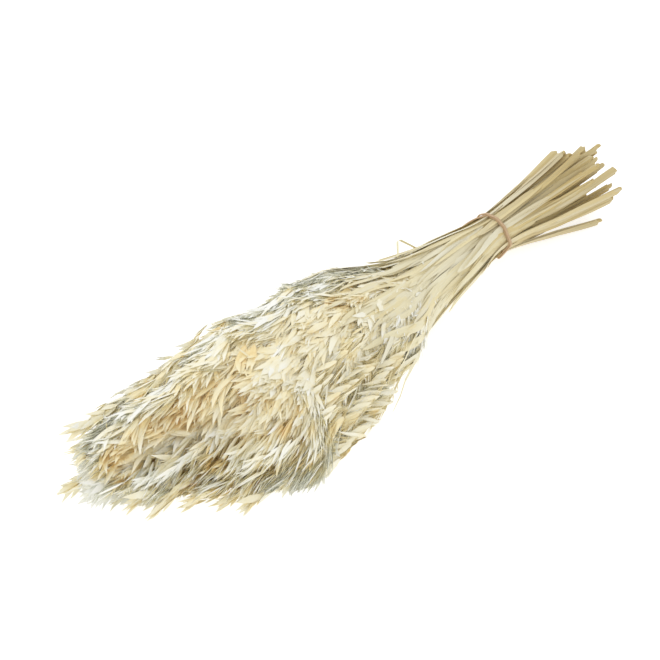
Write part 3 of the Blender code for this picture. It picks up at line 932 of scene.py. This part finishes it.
# Uppermost leaves
# The last leaf below each head, its flag leaf, has dried to a pale, folded blade that lies over the
# start of the heads. One of them is kinked, and its bend stands up above the rest.
FLAG_SEED = SEED + 60
FLAG_LEAVES = 260
FLAG_STARTS = (0.19, 0.34)
FLAG_LENGTHS = (0.07, 0.13)
FLAG_TURN_STRAY = 0.10
FLAG_HALF_WIDTHS = (0.0022, 0.0048)
FLAG_WIDEST = 0.8
FLAG_BLUNTNESS = 0.6
FLAG_RISES = (0.27, 0.34)
FLAG_SIDE = 0.006
FLAG_LEVELS = ((0.0, -0.004), (0.3, 0.0), (0.8, -0.001))
FLAG_TIP_LIFTS = (-0.005, 0.003)
FLAG_FOLD = 0.20
FLAG_POINT = 0.002
FLAG_BLEACH_STRAY = 0.20
# Painted light: flag leaves on the far side are made paler and lighter in tone, against the shade there.
FLAG_FAR_LIGHT_BLEACH = 0.3
FLAG_FAR_LIGHT_TONE = 0.3
FLAG_CHART = (0.166, 0.177)
INNERMOST_REACH = 0.01
KINK_START = 0.248
KINK_LENGTH = 0.052
KINK_HALF_WIDTH = 0.0019
KINK_ANGLE = math.radians(41.0)
KINK_RISES = ((0.15, 0.0), (0.5, 0.021), (0.85, 0.0))


def straw_reach(places, angles):
    """How far the straws reach from the bundle's middle, at places where the heads haven't begun."""
    middles, _ = girth_at(places)
    spokes = spokes_at(angles)
    reaches = np.full(len(places), INNERMOST_REACH)
    for path in paths.values():
        offsets = on_stalk(path, places)[:, 1:] - middles
        beside = np.abs(offsets[:, 0] * spokes[:, 1] - offsets[:, 1] * spokes[:, 0])
        out = (offsets * spokes).sum(axis=1) + STRAW_RADII[0]
        reaches = np.where((beside < FLAG_SIDE) & (places > path["cut"]), np.maximum(reaches, out), reaches)
    return reaches


def flag_leaves(rng):
    """The uppermost leaves, the last one kinked: each one's owner, places, line, faces and half-width."""
    leaves = []
    share = np.linspace(0.0, 1.0, LEAF_RINGS)
    for number in range(FLAG_LEAVES + 1):
        kinked = number == FLAG_LEAVES
        start = rng.uniform(*FLAG_STARTS)
        length = rng.uniform(*FLAG_LENGTHS)
        angles = rng.uniform(0.0, 2.0 * math.pi) + rng.normal(0.0, FLAG_TURN_STRAY) * share
        if kinked:
            start, length = KINK_START, KINK_LENGTH
            angles = np.full(LEAF_RINGS, KINK_ANGLE)
        places = start + np.linspace(*BLADE_ENDS, LEAF_RINGS) * length
        mixed = np.interp(places, FLAG_RISES, (0.0, 1.0))
        reach = (1.0 - mixed) * straw_reach(places, angles)
        reach += mixed * skin_reach(places, angles % (2.0 * math.pi))
        for _ in range(3):
            smooth_along(reach)
        reach += stops(share, (*FLAG_LEVELS, (1.0, rng.uniform(*FLAG_TIP_LIFTS))))
        if kinked:
            reach += stops(share, KINK_RISES)
        middles, sizes = girth_at(places)
        spokes = spokes_at(angles)
        line = in_space(middles + reach[:, None] * spokes, cad_high.x - places[:, None])
        face = unit(in_space(spokes / sizes))
        starts = []
        for path in paths.values():
            apart = np.linalg.norm(on_stalk(path, places[:1])[0] - line[0])
            starts.append(apart + (places[0] < path["cut"]))
        half_width = rng.uniform(*FLAG_HALF_WIDTHS)
        if kinked:
            half_width = KINK_HALF_WIDTH
        leaves.append((int(np.argmin(starts)), places, line, face, half_width))
    return leaves


def flag_parts(path, leaves, rng):
    """The uppermost leaves of one stalk, with painted light: paler on the bundle's far side, against the
    shade there.
    """
    parts = []
    share = np.linspace(*BLADE_ENDS, LEAF_RINGS)[:, None]
    for index, (_, places, line, face, width) in enumerate(leaves):
        forward = unit(np.gradient(line, axis=0))
        edge = unit(np.cross(forward, face))
        face = np.cross(edge, forward)
        half_width = width * np.sin(math.pi * share ** FLAG_WIDEST) ** FLAG_BLUNTNESS
        part = blade_part(line, forward, edge, face, half_width, FLAG_FOLD, FLAG_POINT, places)
        # Painted light on the far side, which lies in shade.
        far_side_light = max(0.0, face[LEAF_RINGS // 2, 1])
        tone = (1.0 - FLAG_FAR_LIGHT_TONE) * rng.random() + FLAG_FAR_LIGHT_TONE * far_side_light
        bleach = path["bleach"] + rng.uniform(-FLAG_BLEACH_STRAY, FLAG_BLEACH_STRAY)
        bleach += FLAG_FAR_LIGHT_BLEACH * far_side_light
        parts.append(in_straw_finish(part, tone, bleach, FLAG_CHART, index, len(leaves), CHART_SHARE))
    return parts


# Whole stalks
# A stalk grew as one piece. Its straw, leaves and twigs are smooth and waxy with fine fibres along them, and
# its husks are thin, matt and papery, with nerves. Bleach and sun took most of the gold out of them; the
# bleach that their finishes read also holds painted shade deep in the heads and painted light on their sides
# and low down.
TISSUE_COLOURS = (
    (0.00, (0.91, 0.74, 0.40)),
    (0.25, (0.93, 0.83, 0.53)),
    (0.50, (0.93, 0.87, 0.64)),
    (0.75, (0.94, 0.91, 0.75)),
    (1.00, (0.94, 0.94, 0.88)),
)
TISSUE_GLOSS = 0.25
MOTTLE_STRENGTH = 0.3
PATCH_SCALE = 60.0
PATCH_STRENGTH = 1.2
PALEST_PATCH = 0.05
PIECE_SHIFT = 50.0
RIPE_FROM = 0.30
CUT_TINT = (0.66, 0.55, 0.33)
HEAD_TINT = (0.93, 0.90, 0.79)
TINT_STRAY = 0.4
STRAW_GRAIN = (0.5, 0.5, 9.0)
STRAW_BLOTCH = 1.6
FIBRE_GRAIN = (2.2, 2.2, 5.0)
FIBRE_SCALE = 4.0
FIBRE_DETAIL = 4.0
FIBRE_SHADES = (0.24, 0.82)
FIBRE_ROUGHNESS = (0.25, 0.38)
FIBRE_RELIEF = (0.12, 0.0004)
HUSK_GRAIN = (0.8, 2.5, 1.0)
HUSK_BLOTCH = 1.3
HUSK_TIP_BLEACH = 0.26
HUSK_BASE_BLEACH = -0.10
HUSK_ROUGHNESS = (0.3, 0.42)
NERVES = 22.0
NERVE_SHARPNESS = 3.0
NERVE_SHADE = -0.08
NERVE_RELIEF = (0.10, 0.0003)
STALK_SEED = SEED + 100
SHARP_EDGE = math.radians(70.0)
TABLE_CLEARANCE = 0.0030


def feed(tree, socket, value):
    """A value, or another node's output, put on an input socket."""
    if isinstance(value, bpy.types.NodeSocket):
        tree.links.new(value, socket)
    elif socket.type == "RGBA" and isinstance(value, tuple):
        socket.default_value = (*value, 1.0)
    else:
        socket.default_value = value


def node(tree, kind, inputs=(), **settings):
    """A shader node with its settings and with what its input sockets get, by name or number."""
    made = tree.nodes.new(kind)
    for key, value in settings.items():
        setattr(made, key, value)
    for key, value in dict(inputs).items():
        feed(tree, made.inputs[key], value)
    return made


def calculate(tree, operation, *values):
    """A Math node over sockets and numbers, as its output socket."""
    return node(tree, "ShaderNodeMath", enumerate(values), operation=operation).outputs[0]


def blended(tree, share, first, second, kind="MIX"):
    """A Mix node over colours, as its output socket."""
    inputs = {0: share, 6: first, 7: second}
    return node(tree, "ShaderNodeMix", inputs, data_type="RGBA", blend_type=kind).outputs[2]


def stretched(tree, vector, scale, stray):
    """A vector times a scale, moved by a different amount on each piece of tissue."""
    made = node(tree, "ShaderNodeVectorMath", {0: vector, 1: scale}, operation="MULTIPLY")
    apart = calculate(tree, "MULTIPLY", stray, PIECE_SHIFT)
    return node(tree, "ShaderNodeVectorMath", {0: made.outputs[0], 1: apart}, operation="ADD").outputs[0]


def noise(tree, place, scale, detail):
    inputs = {"Vector": place, "Scale": scale, "Detail": detail}
    return node(tree, "ShaderNodeTexNoise", inputs, noise_dimensions="3D").outputs[0]


def effect(name, inputs, outputs):
    """A shader node group with named sockets, its Group Input's outputs and its Group Output's inputs."""
    tree = bpy.data.node_groups.new(name, "ShaderNodeTree")
    for label, kind, value in inputs:
        socket = tree.interface.new_socket(name=label, in_out="INPUT", socket_type=kind)
        if value is not None:
            socket.default_value = value
    for label, kind in outputs:
        tree.interface.new_socket(name=label, in_out="OUTPUT", socket_type=kind)
    return tree, tree.nodes.new("NodeGroupInput").outputs, tree.nodes.new("NodeGroupOutput").inputs


def tissue_effect():
    """Dried, bleached plant tissue: from golden where the bleach value is low to ivory and white where it is
    high, with fine mottle and, in the heads, patches that the bleach reached less. The bleach value holds
    real bleaching, and also painted shade deep in the heads and painted light on their sides."""
    inputs = [
        ("Bleach", "NodeSocketFloat", 0.5),
        ("Place", "NodeSocketVector", None),
        ("Blotch", "NodeSocketFloat", 6.0),
        ("In bundle", "NodeSocketVector", None),
        ("Patches", "NodeSocketFloat", 0.0),
    ]
    outputs = [("Colour", "NodeSocketColor"), ("Mottle", "NodeSocketFloat")]
    tree, given, wanted = effect("bleached_tissue", inputs, outputs)
    mottle = noise(tree, given["Place"], given["Blotch"], 3.0)
    stray = calculate(tree, "MULTIPLY_ADD", mottle, MOTTLE_STRENGTH, -0.5 * MOTTLE_STRENGTH)
    patch = calculate(tree, "SUBTRACT", noise(tree, given["In bundle"], PATCH_SCALE, 1.0), 0.5)
    patch = calculate(tree, "MULTIPLY", patch, given["Patches"])
    patch = calculate(tree, "MINIMUM", patch, PALEST_PATCH)
    bleached = calculate(tree, "ADD", given["Bleach"], calculate(tree, "ADD", stray, patch))
    ramp = node(tree, "ShaderNodeValToRGB", {"Fac": bleached})
    while len(ramp.color_ramp.elements) < len(TISSUE_COLOURS):
        ramp.color_ramp.elements.new(0.5)
    for stop, (place, colour) in zip(ramp.color_ramp.elements, TISSUE_COLOURS):
        stop.position = place
        stop.color = (*colour, 1.0)
    feed(tree, wanted["Colour"], ramp.outputs["Color"])
    feed(tree, wanted["Mottle"], mottle)
    return tree


def new_material(name):
    material = bpy.data.materials.new(name)
    material.use_nodes = True
    return material, material.node_tree, material.node_tree.nodes["Principled BSDF"].inputs


def plant_material(name):
    """A new material for dried tissue, and the values of its meshes: grown, tone and bleach, which also holds
    painted shade and painted light.
    """
    material, tree, shader = new_material(name)
    feed(tree, shader["Specular IOR Level"], TISSUE_GLOSS)
    values = []
    for value, output in (("grown", "Vector"), ("tone", "Fac"), ("bleach", "Fac")):
        values.append(node(tree, "ShaderNodeAttribute", attribute_name=value).outputs[output])
    return material, tree, shader, *values


def relief(tree, shader, height, strength, distance):
    """Fine relief on a finish."""
    inputs = {"Strength": strength, "Distance": distance, "Height": height}
    feed(tree, shader["Normal"], node(tree, "ShaderNodeBump", inputs).outputs[0])


def straw_finish(tissue):
    """Smooth and waxy, with fine fibres along it, and darker and yellower towards the cut end."""
    material, tree, shader, grown, tone, bleach = plant_material("dried_straw")
    inputs = {"Bleach": bleach, "Place": stretched(tree, grown, STRAW_GRAIN, tone), "Blotch": STRAW_BLOTCH}
    bleached = node(tree, "ShaderNodeGroup", inputs, node_tree=tissue)
    fibres = noise(tree, stretched(tree, grown, FIBRE_GRAIN, tone), FIBRE_SCALE, FIBRE_DETAIL)
    place = node(tree, "ShaderNodeSeparateXYZ", {0: grown}).outputs["Z"]
    ripening = {"Value": place, "From Min": 0.0, "From Max": RIPE_FROM}
    ripeness = node(tree, "ShaderNodeMapRange", ripening, interpolation_type="SMOOTHSTEP").outputs[0]
    stray = calculate(tree, "MULTIPLY_ADD", tone, TINT_STRAY, -0.5 * TINT_STRAY)
    ripeness = node(tree, "ShaderNodeClamp", {0: calculate(tree, "ADD", ripeness, stray)}).outputs[0]
    shade = calculate(tree, "MULTIPLY_ADD", fibres, *FIBRE_SHADES)
    colour = blended(tree, 1.0, bleached.outputs["Colour"], shade, "MULTIPLY")
    tint = blended(tree, ripeness, CUT_TINT, HEAD_TINT)
    feed(tree, shader["Base Color"], blended(tree, 1.0, colour, tint, "MULTIPLY"))
    feed(tree, shader["Roughness"], calculate(tree, "MULTIPLY_ADD", fibres, *FIBRE_ROUGHNESS))
    relief(tree, shader, fibres, *FIBRE_RELIEF)
    return material


def husk_finish(tissue):
    """Papery and matt, with fine nerves from base to tip, and paler towards the tip."""
    material, tree, shader, grown, tone, bleach = plant_material("papery_husk")
    places = node(tree, "ShaderNodeSeparateXYZ", {0: grown}).outputs
    paler = calculate(tree, "MULTIPLY_ADD", places["Y"], HUSK_TIP_BLEACH, HUSK_BASE_BLEACH)
    inputs = {
        "Bleach": calculate(tree, "ADD", bleach, paler),
        "Place": stretched(tree, grown, HUSK_GRAIN, tone),
        "Blotch": HUSK_BLOTCH,
        "In bundle": node(tree, "ShaderNodeTexCoord").outputs["Object"],
        "Patches": PATCH_STRENGTH,
    }
    bleached = node(tree, "ShaderNodeGroup", inputs, node_tree=tissue)
    nerves = calculate(tree, "SINE", calculate(tree, "MULTIPLY", places["X"], NERVES))
    nerves = calculate(tree, "POWER", calculate(tree, "MULTIPLY_ADD", nerves, 0.5, 0.5), NERVE_SHARPNESS)
    shade = calculate(tree, "MULTIPLY_ADD", nerves, NERVE_SHADE, 1.0)
    feed(tree, shader["Base Color"], blended(tree, 1.0, bleached.outputs["Colour"], shade, "MULTIPLY"))
    rough = calculate(tree, "MULTIPLY_ADD", bleached.outputs["Mottle"], *HUSK_ROUGHNESS)
    feed(tree, shader["Roughness"], rough)
    relief(tree, shader, nerves, *NERVE_RELIEF)
    return material


def put_piece(mesh, finishes):
    """A mesh as a piece of the scene, in its finishes."""
    for finish in finishes:
        mesh.materials.append(finish)
    piece = bpy.data.objects.new(mesh.name, mesh)
    bpy.context.scene.collection.objects.link(piece)
    return piece


def fill(owner, key, values, kind=np.float32):
    """Values put on all of a mesh's points, faces or corners at once."""
    owner.foreach_set(key, values.astype(kind).ravel())


def stalk_mesh(name, parts):
    """One mesh from all the parts of a stalk, with its chart and the values that its finishes read. What
    is at the table is pressed flat on it."""
    whole = joined(parts)
    height = whole["points"][:, 2]
    pressed = TABLE_CLEARANCE * np.exp((height - TABLE_CLEARANCE) / TABLE_CLEARANCE)
    whole["points"][:, 2] = np.where(height < TABLE_CLEARANCE, pressed, height)
    kinds = ("quads", "tris")
    corners = np.concatenate([whole[key].ravel() for key in kinds])
    sizes = np.repeat((4, 3), [len(whole[key]) for key in kinds])
    marks = np.concatenate([np.full(len(part[key]), part["finish"]) for key in kinds for part in parts])
    mesh = bpy.data.meshes.new(name)
    mesh.vertices.add(len(height))
    fill(mesh.vertices, "co", whole["points"])
    mesh.loops.add(len(corners))
    fill(mesh.loops, "vertex_index", corners, np.int32)
    mesh.polygons.add(len(sizes))
    fill(mesh.polygons, "loop_start", np.cumsum(sizes) - sizes, np.int32)
    fill(mesh.polygons, "material_index", marks, np.int32)
    fill(mesh.polygons, "use_smooth", np.ones(len(sizes)), bool)
    mesh.update(calc_edges=True)
    chart = np.concatenate([whole[key].ravel() for key in ("quad_chart", "tri_chart")])
    fill(mesh.uv_layers.new(name="OFBake").uv, "vector", chart)
    fill(mesh.attributes.new("grown", "FLOAT_VECTOR", "POINT").data, "vector", whole["grown"])
    for key in ("tone", "bleach"):
        fill(mesh.attributes.new(key, "FLOAT", "POINT").data, "value", whole[key])
    mesh.set_sharp_from_angle(angle=SHARP_EDGE)
    return mesh


flags = flag_leaves(np.random.default_rng(FLAG_SEED))
tissue = tissue_effect()
stalk_finishes = (straw_finish(tissue), husk_finish(tissue))
for index, (name, path) in enumerate(paths.items(), start=1):
    rng = np.random.default_rng(STALK_SEED + index)
    parts = [straw_part(path, rng)] + leaf_parts(path, rng)
    parts += head_parts(path, [values[owners == index - 1] for values in skin_values], rng)
    parts += flag_parts(path, [leaf for leaf in flags if leaf[0] == index - 1], rng)
    piece = put_piece(stalk_mesh(f"grown_oat_{index:02d}", parts), stalk_finishes)
    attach(piece, "root")
    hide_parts(name)

# Rubber band
# A flat band of natural tan rubber, wound twice round the straws and stretched, so it hugs them. Its
# second turn slants away over the far side, and crosses over the first.
BAND_PLACE = 0.160
BAND_SLANT = 0.024
BAND_HALF_WIDTH = 0.0016
BAND_HALF_WALL = 0.0008
BAND_STEPS = 200
BAND_SIDES = 10
BAND_ROUNDING = 0.6
BAND_CLEARANCE = 0.0007
BAND_CROSSING = math.radians(68.0)
SLANT_TURNS = ((1.0, 1.10), (1.12, 1.50))
TOP_TURNS = ((1.45, 1.55), (0.0, 0.10))
BAND_OVERLAP = 2.1
BAND_COLOURS = ((0.46, 0.30, 0.16), (0.62, 0.45, 0.28))
BAND_GRAIN = 900.0
BAND_ROUGHNESS = (0.3, 0.35)


def eased(values, start, end):
    """0 before the start, 1 after the end, and a smooth way between them."""
    share = np.clip((values - start) / (end - start), 0.0, 1.0)
    return share * share * (3.0 - 2.0 * share)


def rounded(values, half_size):
    """A cosine or sine, flattened so that the section it gives is a rounded rectangle."""
    return half_size * np.sign(values) * np.abs(values) ** BAND_ROUNDING


def band_lines():
    """The middles of the band's sections, twice round, and the directions to its side and out."""
    turns = np.linspace(0.0, 2.0, BAND_STEPS, endpoint=False)
    slanted = eased(turns, *SLANT_TURNS[0]) * (1.0 - eased(turns, *SLANT_TURNS[1]))
    on_top = eased(turns, *TOP_TURNS[0]) + 1.0 - eased(turns, *TOP_TURNS[1])
    rows = BAND_PLACE + BAND_SLANT * slanted
    turn = BAND_CROSSING - 2.0 * math.pi * turns
    spokes = spokes_at(turn)
    columns = np.array([on_stalk(path, rows)[:, 1:] for path in paths.values()])
    straws = (columns * spokes).sum(axis=2).max(axis=0)
    heights = straws + STRAW_RADII[0] * SHEATH_SWELLING + BAND_CLEARANCE
    slopes = (np.roll(heights, -1) - np.roll(heights, 1)) / (2.0 * (turn[1] - turn[0]))
    lay = BAND_HALF_WALL * (1.0 + BAND_OVERLAP * on_top)
    across = np.stack([-spokes[:, 1], spokes[:, 0]], -1)
    middles = (heights + lay)[:, None] * spokes + slopes[:, None] * across
    middles = in_space(middles, cad_high.x - rows[:, None])
    for _ in range(3):
        middles = smooth_round(middles, 0)
    forward = unit(np.roll(middles, -1, axis=0) - np.roll(middles, 1, axis=0))
    out = in_space(spokes)
    side = unit(np.cross(forward, out))
    return middles, side, np.cross(side, forward)


def band_mesh():
    """The band as a closed ring of rounded, flat sections, with its chart."""
    middles, side, out = band_lines()
    turns = turns_round(BAND_SIDES)
    wide = rounded(np.cos(turns), BAND_HALF_WIDTH)[:, None]
    thick = rounded(np.sin(turns), BAND_HALF_WALL)[:, None]
    points = middles[:, None] + wide * side[:, None] + thick * out[:, None]
    k = np.arange(BAND_STEPS)[:, None]
    j = np.arange(BAND_SIDES)
    row, next_row = k * BAND_SIDES, (k + 1) % BAND_STEPS * BAND_SIDES
    next_j = (j + 1) % BAND_SIDES
    faces = np.stack([row + j, row + next_j, next_row + next_j, next_row + j], -1)
    mesh = bpy.data.meshes.new("rubber_band_wound")
    mesh.from_pydata(points.reshape(-1, 3).tolist(), [], faces.reshape(-1, 4).tolist())
    mesh.validate()
    mesh.shade_smooth()
    u0, v0 = k / BAND_STEPS + 0.0 * j, 0.0 * k + j / BAND_SIDES
    u1, v1 = u0 + 1.0 / BAND_STEPS, v0 + 1.0 / BAND_SIDES
    chart = np.stack([u0, v0, u0, v1, u1, v1, u1, v0], -1)
    fill(mesh.uv_layers.new(name="OFBake").uv, "vector", chart)
    return mesh


def rubber_finish():
    """Matt tan rubber with a fine grain."""
    material, tree, shader = new_material("tan_rubber")
    place = node(tree, "ShaderNodeTexCoord").outputs["Object"]
    grain = node(tree, "ShaderNodeTexNoise", {"Vector": place, "Scale": BAND_GRAIN}).outputs[0]
    feed(tree, shader["Base Color"], blended(tree, grain, *BAND_COLOURS))
    feed(tree, shader["Roughness"], calculate(tree, "MULTIPLY_ADD", grain, *BAND_ROUGHNESS))
    return material


band = put_piece(band_mesh(), [rubber_finish()])
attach(band, "root")
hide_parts("rubber_band")

# Table and light
# A white table top under a large softbox and an even white surround, as in a product photograph. The
# table top gives off some light of its own, which keeps it white out to the picture's edges.
FLOOR_SIZE = 12.0
FLOOR_COLOUR = (0.55, 0.55, 0.55)
FLOOR_GLOW = 0.70
WHITE = (1.0, 1.0, 1.0)
SKY_STRENGTH = 0.92
SOFTBOX_SIZE = 1.4
SOFTBOX_POWER = 5.5
SOFTBOX_PLACE = Vector((-0.55, 0.75, 1.45))
MOST_BOUNCES = 24
DIFFUSE_BOUNCES = 16

bpy.ops.mesh.primitive_plane_add(size=FLOOR_SIZE)
floor = bpy.context.object
floor.name = "table_top"
white, tree, shader = new_material("white_table")
feed(tree, shader["Base Color"], FLOOR_COLOUR)
feed(tree, shader["Roughness"], 0.8)
feed(tree, shader["Emission Color"], WHITE)
feed(tree, shader["Emission Strength"], FLOOR_GLOW)
floor.data.materials.append(white)

world = bpy.data.worlds.new("surround")
world.use_nodes = True
surround = world.node_tree.nodes["Background"].inputs
feed(world.node_tree, surround["Color"], WHITE)
feed(world.node_tree, surround["Strength"], SKY_STRENGTH)
bpy.context.scene.world = world

softbox = bpy.data.objects.new("softbox", bpy.data.lights.new("softbox", "AREA"))
softbox.data.size = SOFTBOX_SIZE
softbox.data.energy = SOFTBOX_POWER
softbox.location = SOFTBOX_PLACE
softbox.rotation_euler = (-SOFTBOX_PLACE).to_track_quat("-Z", "Y").to_euler()
bpy.context.scene.collection.objects.link(softbox)

bpy.context.scene.view_settings.view_transform = "Standard"
bpy.context.scene.cycles.max_bounces = MOST_BOUNCES
bpy.context.scene.cycles.diffuse_bounces = DIFFUSE_BOUNCES
